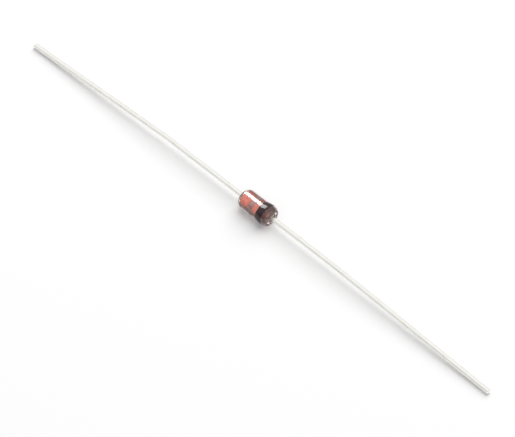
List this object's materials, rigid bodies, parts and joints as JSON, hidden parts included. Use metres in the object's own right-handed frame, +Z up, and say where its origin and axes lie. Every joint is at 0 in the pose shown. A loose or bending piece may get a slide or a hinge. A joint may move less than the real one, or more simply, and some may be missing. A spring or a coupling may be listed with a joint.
{
  "type": "diac",
  "caption": "Bidirectional trigger semiconductor in an axial glass package, with a round wire lead out of each end for through-hole mounting.",
  "frame": {"origin": "on the surface that the part lies on, under the middle of the glass and of the overall box", "axes": "+X along the package towards the end with the printed band, +Z up, +Y to the left of +X"},
  "size_m": [0.0556, 0.002, 0.002],
  "materials": {
    "clear_glass": "clear, fire-polished",
    "black_ink": "satin printed ink",
    "copper_clad": "red oxidised copper skin on nickel-iron",
    "tinned_wire": "bright tinned copper-clad steel",
    "silicon": "dark polished silicon",
    "silver": "plated silver"
  },
  "bodies": {
    "root": {"glass_sleeve": "clear_glass", "marking_band": "black_ink", "near_stud": "copper_clad", "far_stud": "copper_clad", "near_lead": "tinned_wire", "far_lead": "tinned_wire", "diac_die": "silicon", "near_contact_bump": "silver", "far_contact_bump": "silver"}
  },
  "joints": []
}
